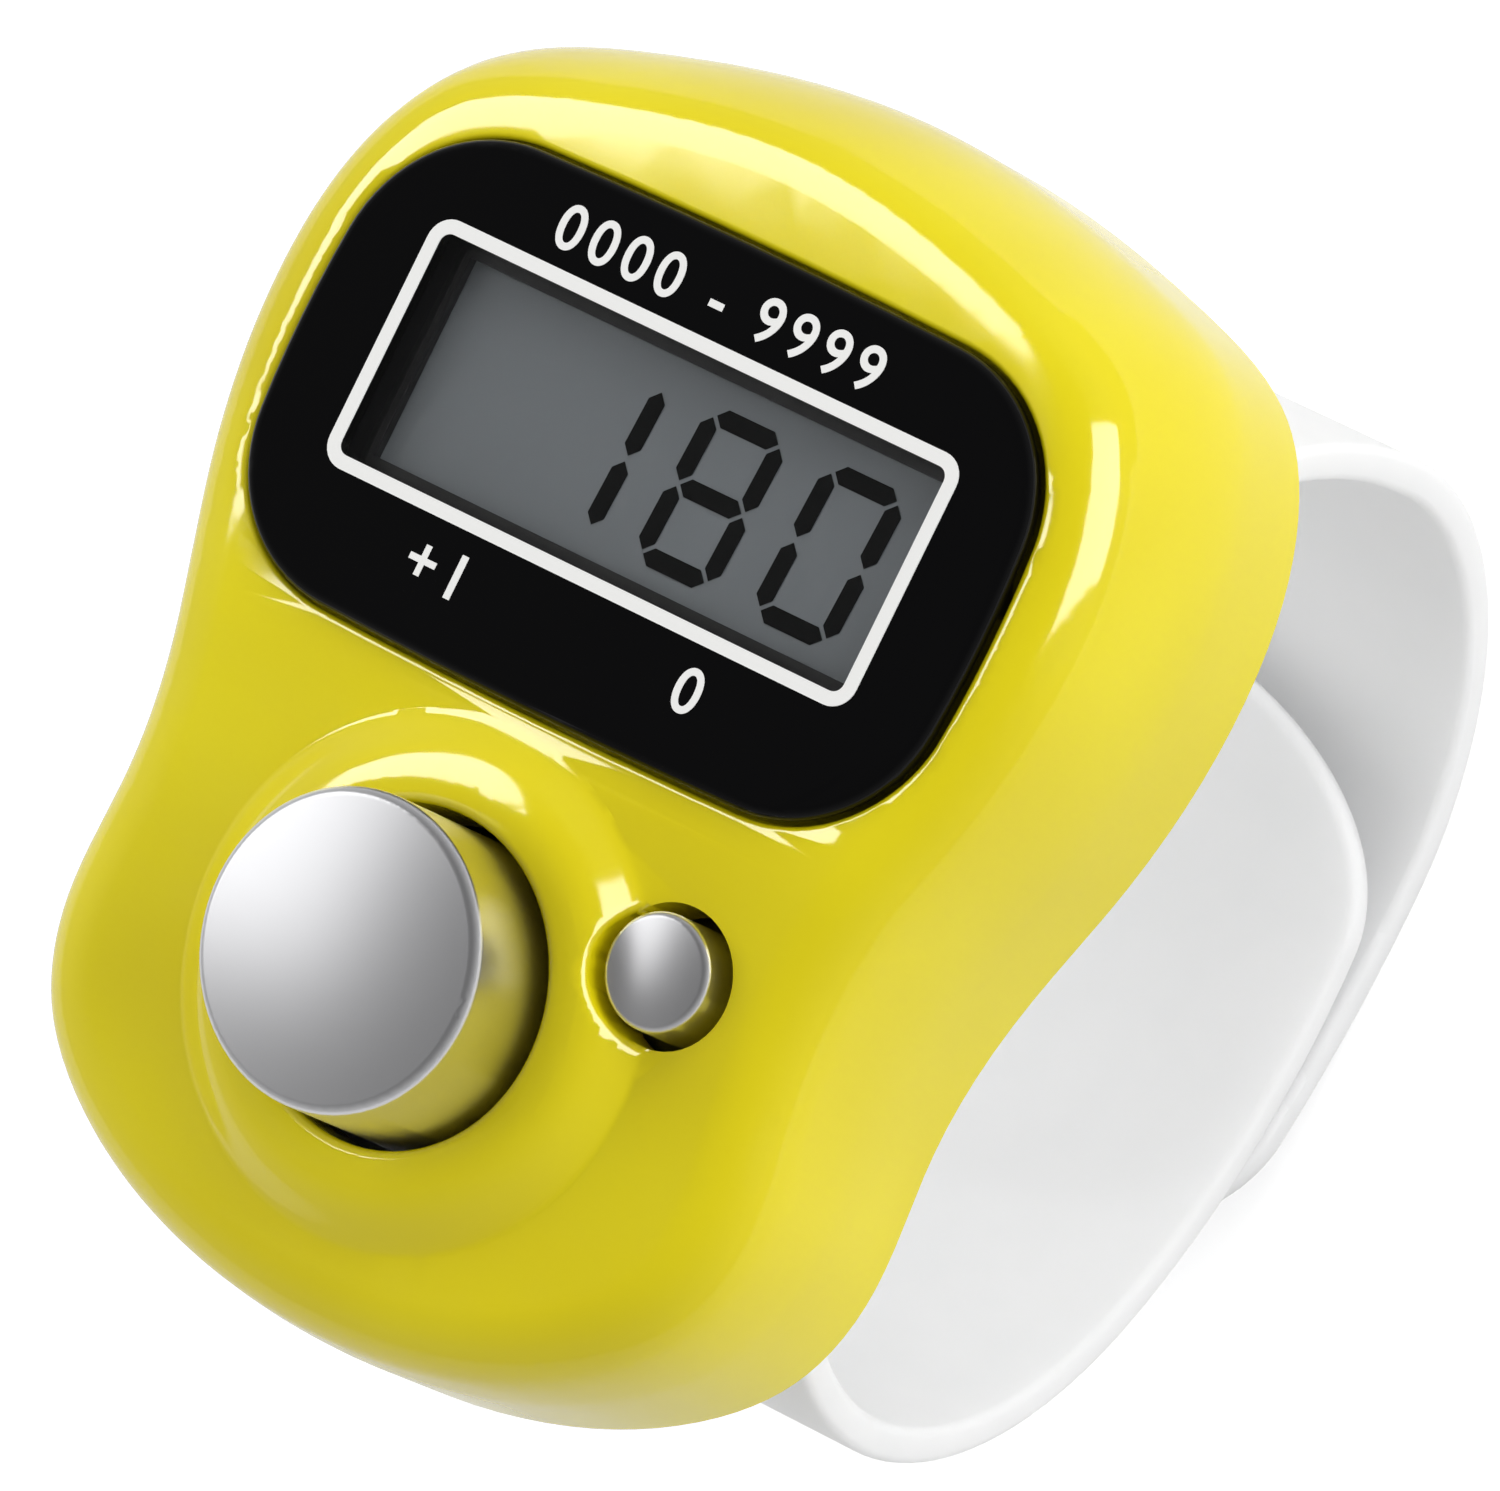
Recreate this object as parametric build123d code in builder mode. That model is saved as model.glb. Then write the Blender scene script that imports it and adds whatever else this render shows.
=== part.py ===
"""Finger tally counter: pear-shaped two-part housing, four-digit display, two keys and a split band."""

import os
from math import asin, cos, degrees, radians, sin, sqrt, tan

from build123d import *

os.makedirs("parts", exist_ok=True)

# Housing outline, seen from the front: display end at +Y, tail end at -Y
body_length = 40.9
head_width = 32.2
waist_width = 26.8
lobe_width = 27.2
head_shares = [(0, 1), (0.565, 0.927), (0.829, 0.829), (0.947, 0.682), (1, 0.438), (0.944, 0.095)]
waist_shares = [(1.049, -0.1), (1, -0.369)]
lobe_shares = [(1, -0.589), (0.929, -0.741), (0.743, -0.864), (0.44, -0.958), (0, -1)]
end_tangent_shares = [1, 1]

# Housing shell
housing_height = 10.8
skirt_height = 3.4
shell_wall = 1.4
front_wall = 1.5
dome_height = 7.9
side_swell = 2.8
head_swell = 5.4
tail_swell = 3.4
dome_level_shares = [0, 0.33, 0.6, 0.82, 0.95]
shoulder_radius = 2.4
lobe_slope = 8
lobe_bend_radius = 20
lobe_bend_gap = 0.4
overrun = 2

# Display window and what lies under it
window_end_shares = (0.7188, -0.0342)
window_margin = 3.2
window_side_bow = 0.8
window_end_bow = 0.3
window_corner_radius = 5
window_thickness = 1.2
window_proud = 0.5
window_edge_radius = 0.35
window_clearance = 0.1
pocket_edge_radius = 0.2
tape_thickness = 0.15
tape_margin = 0.2
display_offset = 0.45
bezel_side_margin = 2.8
bezel_end_margin = 2.5
view_side_margin = 1.15
view_end_margin = 1.9
bezel_corner_radius = 1.2
bezel_drop = 0.4
bezel_lip = 0.4
bezel_gap = 0.2
bezel_wall = 0.6
bezel_clearance = 0.2
glass_thickness = 0.7
film_thickness = 0.2
glass_clearance = 0.1
contact_ledge = 2
strip_width = 1.8

# Keys
count_place_share = -0.462
count_radius = 4.85
count_clearance = 0.3
count_rise = 4.1
count_crown_radius = 42
count_travel = 1
count_wall = 1
count_top_wall = 1.2
count_edge_radius = 0.36
count_post_radius = 1.6
mound_height = 1.3
mound_top_radius = 5.7
mound_foot_radius = 8.8
mound_foot_angle = 12
mound_sink = 0.2
lug_count = 3
lug_reach = 1.4
lug_width = 3.4
lug_turn = 84
reset_x = 7.9
reset_offset = 3.55
reset_radius = 1.8
reset_clearance = 0.4
reset_rise = 1
reset_crown_radius = 12
reset_travel = 0.6
reset_edge_radius = 0.25
reset_flange = 0.9
key_lip = 0.7
hole_edge_radius = 0.3
key_gap = 0.05
collar_wall = 0.9
collar_height = 1
lug_clearance = 0.25

# Rubber domes under the keys
dome_flange = 0.4
count_dome_radius = 3.8
count_dome_top_radius = 1.9
reset_dome_radius = 2.2
reset_dome_top_radius = 1.1
dome_wall = 0.45
pill_thickness = 0.25
pill_gap = 0.05
pill_margin = 0.3
pill_clearance = 0.15
dome_ledge = 0.6

# Circuit board, cell and contacts
board_thickness = 0.8
board_margin = 0.5
board_head_edge = 0.75
board_tail_gap = 0.1
board_boss_gap = 0.45
blob_radius = 2.9
blob_height = 1.1
blob_place_share = -0.3716
chip_length = 2
chip_width = 1.25
chip_height = 0.5
chip_x = 5.4
chip_pitch = 2.6
chip_count = 3
cell_diameter = 11.6
cell_height = 3.05
cell_cap_diameter = 9
cell_cap_height = 0.35
cell_place_share = 0.2445
cell_edge_radius = 0.3
cell_clearance = 0.25
contact_room = 0.35
contact_thickness = 0.15
contact_width = 3
contact_arm = 3
contact_step = 1.2
contact_gap = 0.02
clip_width = 2.6
clip_foot = 2.4

# Back cover
cover_thickness = 1.2
rebate_depth = 0.7
cover_clearance = 0.1
cover_pad = 0.6
well_wall = 0.8
well_height = 2.4
cover_edge_radius = 0.3
post_radius = 0.9
rib_x = 5
rib_thickness = 1
rib_length = 2.2
rib_offset = 1
post_place_shares = (0.6912, -0.5183)

# Screws
screw_diameter = 1.4
screw_head_diameter = 2.2
screw_head_height = 0.6
screw_length = 4.2
screw_clearance = 0.05
screw_recess = 0.1
cross_width = 0.35
cross_length = 1.4
cross_depth = 0.35
boss_wall = 0.8
boss_height = 5.2
cover_screw_shares = (0.7888, 0.6553)
tail_screw_share = -0.8411
board_screw_length = 3.4
board_screw_shares = (0.8507, -0.0244)

# Finger band: an upper prong outside, a lower prong inside
band_margin = 3.85
band_thickness = 1.2
band_clearance = 0.15
band_kick_radius = 5
band_kick_angle = 30
band_straight = 0.6
bead_width = 3
bead_inset = 1
bead_height = 1.4
band_edge_radius = 0.3
upper_root_share = 0.6846
upper_bulge = 4.2
upper_corner_share = 0.4457
upper_corner_angle = 90
upper_floor_share = 1.377
upper_floor_angle = 24
upper_tip = 7
lower_root_share = 0.665
lower_bulge = 3
lower_corner_share = 0.4928
lower_corner_angle = 60
lower_floor_share = 0.8188
lower_floor_angle = 54
lower_tip = 7

# Places and sizes that follow the housing
half_length = body_length / 2
window_y = sum(window_end_shares) * half_length / 2
window_height = (window_end_shares[0] - window_end_shares[1]) * half_length
window_width = head_width - 2 * window_margin
display_y = window_y + display_offset
bezel_y = display_y - bezel_drop
bezel_width = window_width - 2 * bezel_side_margin
bezel_height = window_height - 2 * bezel_end_margin
view_width = bezel_width - 2 * view_side_margin
view_height = bezel_height - 2 * view_end_margin
lobe_bend_y = window_y - window_height / 2 - lobe_bend_gap
count_y = count_place_share * half_length
reset_y = count_y + reset_offset
cell_y = cell_place_share * half_length
blob_y = blob_place_share * half_length
post_x = post_place_shares[0] * lobe_width / 2
post_y = post_place_shares[1] * half_length
cover_screw_x = cover_screw_shares[0] * head_width / 2
cover_screw_y = cover_screw_shares[1] * half_length
board_screw_x = board_screw_shares[0] * waist_width / 2
board_screw_y = board_screw_shares[1] * half_length
upper_root_y = upper_root_share * half_length
lower_root_y = lower_root_share * half_length
band_width = (head_width + lobe_width) / 2 - 2 * band_margin
band_span = upper_root_y + lower_root_y
upper_corner_radius = upper_corner_share * band_span
lower_corner_radius = lower_corner_share * band_span

# Heights, worked up from the bottom of the band
kick = radians(band_kick_angle)
kick_out = band_kick_radius * (1 - cos(kick))
upper_belly_radius = (upper_bulge - band_thickness / 2 - kick_out) / (1 - cos(kick))
lower_belly_radius = (lower_bulge - band_thickness / 2 - kick_out) / (1 - cos(kick))
band_drop = band_straight + (band_kick_radius + upper_belly_radius) * sin(kick) + upper_corner_radius
rim_z = band_drop
cover_top_z = rim_z + cover_thickness
cell_top_z = cover_top_z + cell_height
board_bottom_z = cell_top_z + contact_room
board_top_z = board_bottom_z + board_thickness
window_top_z = rim_z + housing_height
window_bottom_z = window_top_z - window_thickness
pocket_z = window_bottom_z - tape_thickness
face_z = window_top_z - window_proud
ceiling_z = face_z - front_wall
bezel_top_z = window_bottom_z - bezel_gap
film_top_z = bezel_top_z - bezel_lip
front_glass_top_z = film_top_z - film_thickness
rear_glass_top_z = front_glass_top_z - glass_thickness
reflector_top_z = rear_glass_top_z - glass_thickness
reflector_bottom_z = reflector_top_z - film_thickness
dome_flange_top_z = board_top_z + dome_flange
count_bottom_z = dome_flange_top_z + count_travel
lip_top_z = count_bottom_z + key_lip
stop_z = lip_top_z + key_gap


def face_height(y):
    """Height of the sloping front face at a place on the lobe."""
    return face_z - (lobe_bend_y - y) * tan(radians(lobe_slope))


def outline(side=0, head_end=0, tail_end=0):
    """Pear outline of the housing, drawn in at the sides and at either end."""
    side_share = 1 - side / (head_width / 2)
    length = body_length - head_end - tail_end
    middle = (tail_end - head_end) / 2
    points = []
    for width, shares in ((head_width, head_shares), (waist_width, waist_shares), (lobe_width, lobe_shares)):
        for across, along in shares:
            points.append((across * side_share * width / 2, middle + along * length / 2))
    with BuildSketch() as pear:
        with BuildLine():
            Spline(*points, tangents=[(1, 0), (-1, 0)], tangent_scalars=end_tangent_shares)
            mirror(about=Plane.YZ)
        make_face()
    return pear.sketch


def window_outline(grow=0):
    """Rounded outline of the display window, with slightly bowed sides."""
    side_x = window_width / 2 + grow
    end_y = window_height / 2 + grow
    corner_x = side_x - window_side_bow
    corner_y = end_y - window_end_bow
    with BuildSketch() as window:
        with BuildLine():
            ThreePointArc((-corner_x, corner_y), (0, end_y), (corner_x, corner_y))
            ThreePointArc((corner_x, corner_y), (side_x, 0), (corner_x, -corner_y))
            ThreePointArc((corner_x, -corner_y), (0, -end_y), (-corner_x, -corner_y))
            ThreePointArc((-corner_x, -corner_y), (-side_x, 0), (-corner_x, corner_y))
        make_face()
        fillet(window.vertices(), radius=window_corner_radius + grow)
    return window.sketch


def bezel_outline(grow=0):
    """Round-cornered outline of the display bezel."""
    with BuildSketch() as frame:
        RectangleRounded(bezel_width + 2 * grow, bezel_height + 2 * grow, bezel_corner_radius + grow)
    return frame.sketch


def housing_form(wall=0, drop=0, edge_radius=0):
    """Domed housing form a wall's thickness inside the outer surface, cut off along the front face."""
    top = window_top_z + overrun
    end = half_length + overrun
    with BuildPart() as form:
        with BuildSketch(Plane.XY.offset(rim_z)):
            add(outline(wall, wall, wall))
        extrude(amount=skirt_height)
        for share in dome_level_shares:
            inset_share = 1 - sqrt(1 - share**2)
            with BuildSketch(Plane.XY.offset(rim_z + skirt_height + share * dome_height)):
                add(
                    outline(
                        wall + inset_share * side_swell,
                        wall + inset_share * head_swell,
                        wall + inset_share * tail_swell,
                    )
                )
        loft()
        with BuildSketch(Plane.YZ):
            with BuildLine():
                FilletPolyline(
                    (end, face_z - drop),
                    (lobe_bend_y, face_z - drop),
                    (-end, face_height(-end) - drop),
                    radius=lobe_bend_radius,
                )
                Polyline((-end, face_height(-end) - drop), (-end, top), (end, top), (end, face_z - drop))
            make_face()
        extrude(amount=head_width, both=True, mode=Mode.SUBTRACT)
        if edge_radius:
            rim = form.edges(Select.LAST).filter_by(lambda edge: edge.bounding_box().size.X > shell_wall)
            fillet(rim.filter_by(GeomType.LINE, reverse=True), radius=edge_radius)
    return form.part


# Front shell: skirt, domed shoulder, sloping lobe and the mound round the count key
slope = radians(lobe_slope)
lobe_normal = (0, -sin(slope), cos(slope))
mound_origin = (0, count_y, face_height(count_y))
count_hole_radius = count_radius + count_clearance
reset_hole_radius = reset_radius + reset_clearance
lug_radius = count_radius + lug_reach
pocket_reach = lug_radius + lug_clearance
screw_hole_radius = screw_diameter / 2 + screw_clearance
boss_radius = screw_hole_radius + boss_wall
cover_screw_places = [
    (-cover_screw_x, cover_screw_y),
    (cover_screw_x, cover_screw_y),
    (0, tail_screw_share * half_length),
]
board_screw_places = [(-board_screw_x, board_screw_y), (board_screw_x, board_screw_y)]
post_places = [(-post_x, post_y), (post_x, post_y)]
boss_z = cover_top_z + cover_pad
bead_top_z = cover_top_z + bead_height
root_z = (ceiling_z + pocket_z) / 2

with BuildPart() as front_shell:
    add(housing_form(edge_radius=shoulder_radius))
    with BuildSketch(Plane(mound_origin, x_dir=(1, 0, 0), z_dir=(0, -cos(slope), -sin(slope)))):
        with BuildLine():
            flank = Spline(
                (mound_top_radius, mound_height),
                (mound_foot_radius, -mound_sink),
                tangents=[(1, 0), (cos(radians(mound_foot_angle)), -sin(radians(mound_foot_angle)))],
            )
            Polyline(
                flank @ 1,
                (mound_foot_radius, -front_wall / 2),
                (0, -front_wall / 2),
                (0, mound_height),
                flank @ 0,
            )
        make_face()
    revolve(axis=Axis(mound_origin, lobe_normal))
    add(housing_form(shell_wall, front_wall), mode=Mode.SUBTRACT)
    with BuildSketch(Plane.XY.offset(rim_z)):
        add(outline(rebate_depth, rebate_depth, rebate_depth))
    extrude(amount=cover_thickness, mode=Mode.SUBTRACT)
    with BuildSketch(Plane((0, window_y, pocket_z))):
        add(window_outline(window_clearance))
    extrude(amount=window_thickness + overrun, mode=Mode.SUBTRACT)
    fillet(front_shell.edges(Select.LAST).group_by(Axis.Z)[-1], radius=pocket_edge_radius)
    with BuildSketch(Plane((0, bezel_y, ceiling_z - overrun))):
        add(bezel_outline(bezel_clearance))
    extrude(amount=pocket_z - ceiling_z + 2 * overrun, mode=Mode.SUBTRACT)
    with BuildSketch(Plane.XY.offset(stop_z)):
        with Locations((0, count_y)):
            Circle(count_hole_radius + collar_wall)
        with Locations((reset_x, reset_y)):
            Circle(reset_hole_radius + collar_wall)
    extrude(amount=collar_height)
    with BuildSketch(Plane.XY.offset(board_top_z)):
        with Locations(*board_screw_places):
            Circle(boss_radius)
    extrude(amount=root_z - board_top_z)
    with BuildSketch(Plane.XY.offset(board_top_z)):
        with Locations(*post_places):
            Circle(post_radius)
    extrude(amount=face_height(post_y) - front_wall / 2 - board_top_z)
    with BuildSketch(Plane.XY.offset(boss_z)):
        with Locations(*cover_screw_places):
            Circle(boss_radius)
    extrude(amount=boss_height)
    with BuildSketch(Plane.XY.offset(bead_top_z)):
        with Locations((-rib_x, upper_root_y + rib_offset), (rib_x, upper_root_y + rib_offset)):
            Rectangle(rib_thickness, rib_length)
    extrude(amount=root_z - bead_top_z)
    with BuildSketch(Plane.XY.offset(bead_top_z)):
        with Locations((-rib_x, -lower_root_y - rib_offset), (rib_x, -lower_root_y - rib_offset)):
            Rectangle(rib_thickness, rib_length)
    extrude(amount=face_height(-lower_root_y - rib_offset) - front_wall / 2 - bead_top_z)
    with BuildSketch(Plane.XY.offset(boss_z)):
        with Locations(*cover_screw_places):
            Circle(screw_hole_radius)
    extrude(amount=screw_length, mode=Mode.SUBTRACT)
    with BuildSketch(Plane.XY.offset(board_top_z)):
        with Locations(*board_screw_places):
            Circle(screw_hole_radius)
    extrude(amount=board_screw_length, mode=Mode.SUBTRACT)
    with BuildSketch(Plane((0, count_y, count_bottom_z - count_travel))):
        Circle(count_hole_radius)
    extrude(amount=window_top_z - count_bottom_z + count_travel + overrun, mode=Mode.SUBTRACT)
    fillet(front_shell.edges(Select.LAST).sort_by(Axis.Z)[-1], radius=hole_edge_radius)
    with BuildSketch(Plane((0, count_y, count_bottom_z - count_travel - key_gap))):
        with PolarLocations(pocket_reach / 2, lug_count, start_angle=lug_turn):
            Rectangle(pocket_reach, lug_width + 2 * lug_clearance)
    extrude(amount=stop_z - count_bottom_z + count_travel + key_gap, mode=Mode.SUBTRACT)
    with BuildSketch(Plane((reset_x, reset_y, count_bottom_z))):
        Circle(reset_hole_radius)
    extrude(amount=window_top_z - count_bottom_z, mode=Mode.SUBTRACT)
    fillet(front_shell.edges(Select.LAST).sort_by(Axis.Z)[-1], radius=hole_edge_radius)
front_shell.part.label = "front_shell"
export_step(front_shell.part, "parts/front_shell.step")

# Back cover: inset plate with the cell well, posts under the board, band slots and screw holes
cell_radius = cell_diameter / 2
well_radius = cell_radius + cell_clearance
cover_inset = rebate_depth + cover_clearance
slot_width = band_width + 2 * band_clearance
slot_height = band_thickness + 2 * band_clearance
head_bore_radius = screw_head_diameter / 2 + 2 * screw_clearance

with BuildPart() as back_cover:
    with BuildSketch(Plane.XY.offset(rim_z)):
        add(outline(cover_inset, cover_inset, cover_inset))
    extrude(amount=cover_thickness)
    fillet(back_cover.faces().sort_by(Axis.Z)[0].edges(), radius=cover_edge_radius)
    with BuildSketch(Plane.XY.offset(cover_top_z)):
        with Locations(*cover_screw_places):
            Circle(boss_radius)
        pad_inset = shell_wall + cover_clearance
        add(outline(pad_inset, pad_inset, pad_inset), mode=Mode.INTERSECT)
    extrude(amount=cover_pad)
    with BuildSketch(Plane.XY.offset(cover_top_z)):
        with Locations(*post_places):
            Circle(post_radius)
    extrude(amount=board_bottom_z - cover_top_z)
    with BuildSketch(Plane.XY.offset(cover_top_z)):
        with Locations((0, cell_y)):
            Circle(well_radius + well_wall)
            Circle(well_radius, mode=Mode.SUBTRACT)
        with Locations((well_radius, cell_y)):
            Rectangle(well_radius, clip_width + well_wall, mode=Mode.SUBTRACT)
    extrude(amount=well_height)
    with BuildSketch(Plane.XY.offset(rim_z)):
        with Locations((0, upper_root_y), (0, -lower_root_y)):
            Rectangle(slot_width, slot_height)
    extrude(amount=cover_thickness, mode=Mode.SUBTRACT)
    with Locations(*[Plane((x, y, rim_z), z_dir=(0, 0, -1)) for x, y in cover_screw_places]):
        CounterBoreHole(screw_hole_radius, head_bore_radius, screw_recess + screw_head_height)
back_cover.part.label = "back_cover"
export_step(back_cover.part, "parts/back_cover.step")

# Display window: clear acrylic plate with a rounded front edge, on a ring of double-sided tape
with BuildPart() as display_window:
    with BuildSketch(Plane((0, window_y, window_bottom_z))):
        add(window_outline())
    extrude(amount=window_thickness)
    fillet(display_window.faces().sort_by(Axis.Z)[-1].edges(), radius=window_edge_radius)
display_window.part.label = "display_window"
export_step(display_window.part, "parts/display_window.step")

with BuildPart() as window_tape:
    with BuildSketch(Plane.XY.offset(pocket_z)):
        with Locations((0, window_y)):
            add(window_outline(-tape_margin))
        with Locations((0, bezel_y)):
            add(bezel_outline(bezel_clearance + tape_margin), mode=Mode.SUBTRACT)
    extrude(amount=tape_thickness)
window_tape.part.label = "window_tape"
export_step(window_tape.part, "parts/window_tape.step")

# Display: bezel, polariser, two panes of glass, reflector and the rubber strips under them
glass_width = bezel_width - 2 * (bezel_wall + glass_clearance)
glass_height = bezel_height - 2 * (bezel_wall + glass_clearance)
rear_height = glass_height - contact_ledge
rear_y = bezel_y + contact_ledge / 2
strip_length = glass_width - contact_ledge
zebra_y = bezel_y - (glass_height - contact_ledge) / 2
support_y = bezel_y + (glass_height - contact_ledge) / 2

with BuildPart() as display_bezel:
    with BuildSketch(Plane((0, bezel_y, board_top_z))):
        add(bezel_outline())
    extrude(amount=bezel_top_z - board_top_z)
    with BuildSketch(Plane((0, bezel_y, board_top_z))):
        Rectangle(bezel_width - 2 * bezel_wall, bezel_height - 2 * bezel_wall)
    extrude(amount=film_top_z - board_top_z, mode=Mode.SUBTRACT)
    with BuildSketch(Plane((0, display_y, film_top_z))):
        Rectangle(view_width, view_height)
    extrude(amount=bezel_lip, mode=Mode.SUBTRACT)
display_bezel.part.label = "display_bezel"
export_step(display_bezel.part, "parts/display_bezel.step")


def plate(name, y, width, height, bottom, top):
    """Rectangular plate or strip of the display, written to its own file."""
    with BuildPart() as piece:
        with BuildSketch(Plane((0, y, bottom))):
            Rectangle(width, height)
        extrude(amount=top - bottom)
    piece.part.label = name
    export_step(piece.part, f"parts/{name}.step")


plate("display_polariser", bezel_y, glass_width, glass_height, front_glass_top_z, film_top_z)
plate("front_glass", bezel_y, glass_width, glass_height, rear_glass_top_z, front_glass_top_z)
plate("rear_glass", rear_y, glass_width, rear_height, reflector_top_z, rear_glass_top_z)
plate("display_reflector", rear_y, glass_width, rear_height, reflector_bottom_z, reflector_top_z)
plate("zebra_strip", zebra_y, strip_length, strip_width, board_top_z, rear_glass_top_z)
plate("support_strip", support_y, strip_length, strip_width, board_top_z, reflector_bottom_z)

# Count key: hollow plated cap with a raked top, a centre post and three lugs under the shell
count_dome_top_z = count_bottom_z + dome_flange
count_top_z = face_height(count_y) + mound_height + count_rise
count_roof_z = count_top_z - count_top_wall - count_radius * tan(slope)

with BuildPart() as count_button:
    with BuildSketch(Plane((0, count_y, count_bottom_z))):
        Circle(count_radius)
    extrude(amount=count_top_z - count_bottom_z + overrun)
    with Locations(Vector(0, count_y, count_top_z) - Vector(lobe_normal) * count_crown_radius):
        Sphere(count_crown_radius, mode=Mode.INTERSECT)
    fillet(count_button.faces().sort_by(Axis.Z)[-1].edges(), radius=count_edge_radius)
    with BuildSketch(Plane((0, count_y, count_bottom_z))):
        Circle(count_radius - count_wall)
    extrude(amount=count_roof_z - count_bottom_z, mode=Mode.SUBTRACT)
    with BuildSketch(Plane((0, count_y, count_dome_top_z + key_gap))):
        Circle(count_post_radius)
    extrude(amount=count_roof_z - count_dome_top_z)
    with BuildSketch(Plane((0, count_y, count_bottom_z))):
        with PolarLocations(lug_radius / 2, lug_count, start_angle=lug_turn):
            Rectangle(lug_radius, lug_width)
        Circle(lug_radius, mode=Mode.INTERSECT)
        Circle(count_radius - count_wall / 2, mode=Mode.SUBTRACT)
    extrude(amount=key_lip)
count_button.part.label = "count_button"
export_step(count_button.part, "parts/count_button.step")

# Reset key: small plated plunger with a round lip under the shell
reset_top_z = face_height(reset_y) + reset_rise

with BuildPart() as reset_button:
    with BuildSketch(Plane((reset_x, reset_y, count_bottom_z))):
        Circle(reset_radius)
    extrude(amount=reset_top_z - count_bottom_z + overrun)
    with Locations(Vector(reset_x, reset_y, reset_top_z) - Vector(lobe_normal) * reset_crown_radius):
        Sphere(reset_crown_radius, mode=Mode.INTERSECT)
    fillet(reset_button.faces().sort_by(Axis.Z)[-1].edges(), radius=reset_edge_radius)
    with BuildSketch(Plane((reset_x, reset_y, count_bottom_z))):
        Circle(reset_radius + reset_flange)
    extrude(amount=key_lip)
reset_button.part.label = "reset_button"
export_step(reset_button.part, "parts/reset_button.step")


def dome_and_pill(key, place, radius, top_radius, top_z, travel):
    """Silicone dome standing on the board under a key, and the carbon pill under its crown."""
    x, y = place
    shoulder = radius - dome_ledge
    pill_bottom = board_top_z + travel + pill_gap
    crown = pill_bottom + pill_thickness - board_top_z
    height = top_z - board_top_z
    inner_radius = top_radius - pill_margin
    with BuildPart() as dome:
        with BuildSketch(Plane((x, y, board_top_z), x_dir=(1, 0, 0), z_dir=(0, -1, 0))):
            with BuildLine():
                Polyline(
                    (shoulder - dome_wall, 0),
                    (radius, 0),
                    (radius, dome_flange),
                    (shoulder, dome_flange),
                    (top_radius, height),
                    (0, height),
                    (0, crown),
                    (inner_radius, crown),
                    (shoulder - dome_wall, 0),
                )
            make_face()
        revolve(axis=Axis((x, y, board_top_z), (0, 0, 1)))
    dome.part.label = key + "_dome"
    export_step(dome.part, f"parts/{key}_dome.step")
    with BuildPart() as pill:
        with BuildSketch(Plane((x, y, pill_bottom))):
            Circle(inner_radius - pill_clearance)
        extrude(amount=pill_thickness)
    pill.part.label = key + "_pill"
    export_step(pill.part, f"parts/{key}_pill.step")


dome_and_pill("count", (0, count_y), count_dome_radius, count_dome_top_radius, count_dome_top_z, count_travel)
dome_and_pill(
    "reset",
    (reset_x, reset_y),
    reset_dome_radius,
    reset_dome_top_radius,
    count_bottom_z - key_gap,
    reset_travel,
)

# Circuit board with its chip blob and small components underneath
board_inset = shell_wall + board_margin
board_head_y = bezel_y + bezel_height / 2 + board_head_edge
board_shoulder_y = cover_screw_y - boss_radius - board_boss_gap
board_shoulder_width = 2 * (cover_screw_x - boss_radius - board_boss_gap)
board_tail_y = rib_length / 2 + board_tail_gap - lower_root_y - rib_offset

with BuildPart() as circuit_board:
    with BuildSketch(Plane.XY.offset(board_bottom_z)):
        add(outline(board_inset, board_inset, board_inset))
        with Locations((0, (board_shoulder_y + board_tail_y) / 2)):
            main_board = Rectangle(head_width, board_shoulder_y - board_tail_y, mode=Mode.PRIVATE)
        with Locations((0, (board_head_y + board_tail_y) / 2)):
            head_tongue = Rectangle(board_shoulder_width, board_head_y - board_tail_y, mode=Mode.PRIVATE)
        add(main_board + head_tongue, mode=Mode.INTERSECT)
        with Locations(*board_screw_places):
            Circle(screw_hole_radius + screw_clearance, mode=Mode.SUBTRACT)
    extrude(amount=board_thickness)
circuit_board.part.label = "circuit_board"
export_step(circuit_board.part, "parts/circuit_board.step")

blob_round = (blob_radius**2 + blob_height**2) / (2 * blob_height)
with BuildPart() as chip_blob:
    with BuildSketch(Plane((0, blob_y, board_bottom_z), x_dir=(1, 0, 0), z_dir=(0, -1, 0))):
        with BuildLine():
            cap = JernArc((0, -blob_height), (1, 0), blob_round, degrees(asin(blob_radius / blob_round)))
            Polyline(cap @ 1, (0, 0), (0, -blob_height))
        make_face()
    revolve(axis=Axis((0, blob_y, board_bottom_z), (0, 0, 1)))
chip_blob.part.label = "chip_blob"
export_step(chip_blob.part, "parts/chip_blob.step")

with BuildPart() as chip_components:
    with BuildSketch(Plane((chip_x, blob_y, board_bottom_z - chip_height))):
        with GridLocations(0, chip_pitch, 1, chip_count):
            Rectangle(chip_length, chip_width)
    extrude(amount=chip_height)
chip_components.part.label = "chip_components"
export_step(chip_components.part, "parts/chip_components.step")

# Button cell with its smaller negative cap towards the board, and the two contacts
with BuildPart() as button_cell:
    with BuildSketch(Plane((0, cell_y, cover_top_z))):
        Circle(cell_radius)
    extrude(amount=cell_height - cell_cap_height)
    fillet(button_cell.edges(), radius=cell_edge_radius)
    with BuildSketch(Plane((0, cell_y, cell_top_z - cell_cap_height))):
        Circle(cell_cap_diameter / 2)
    extrude(amount=cell_cap_height)
button_cell.part.label = "button_cell"
export_step(button_cell.part, "parts/button_cell.step")

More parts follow.
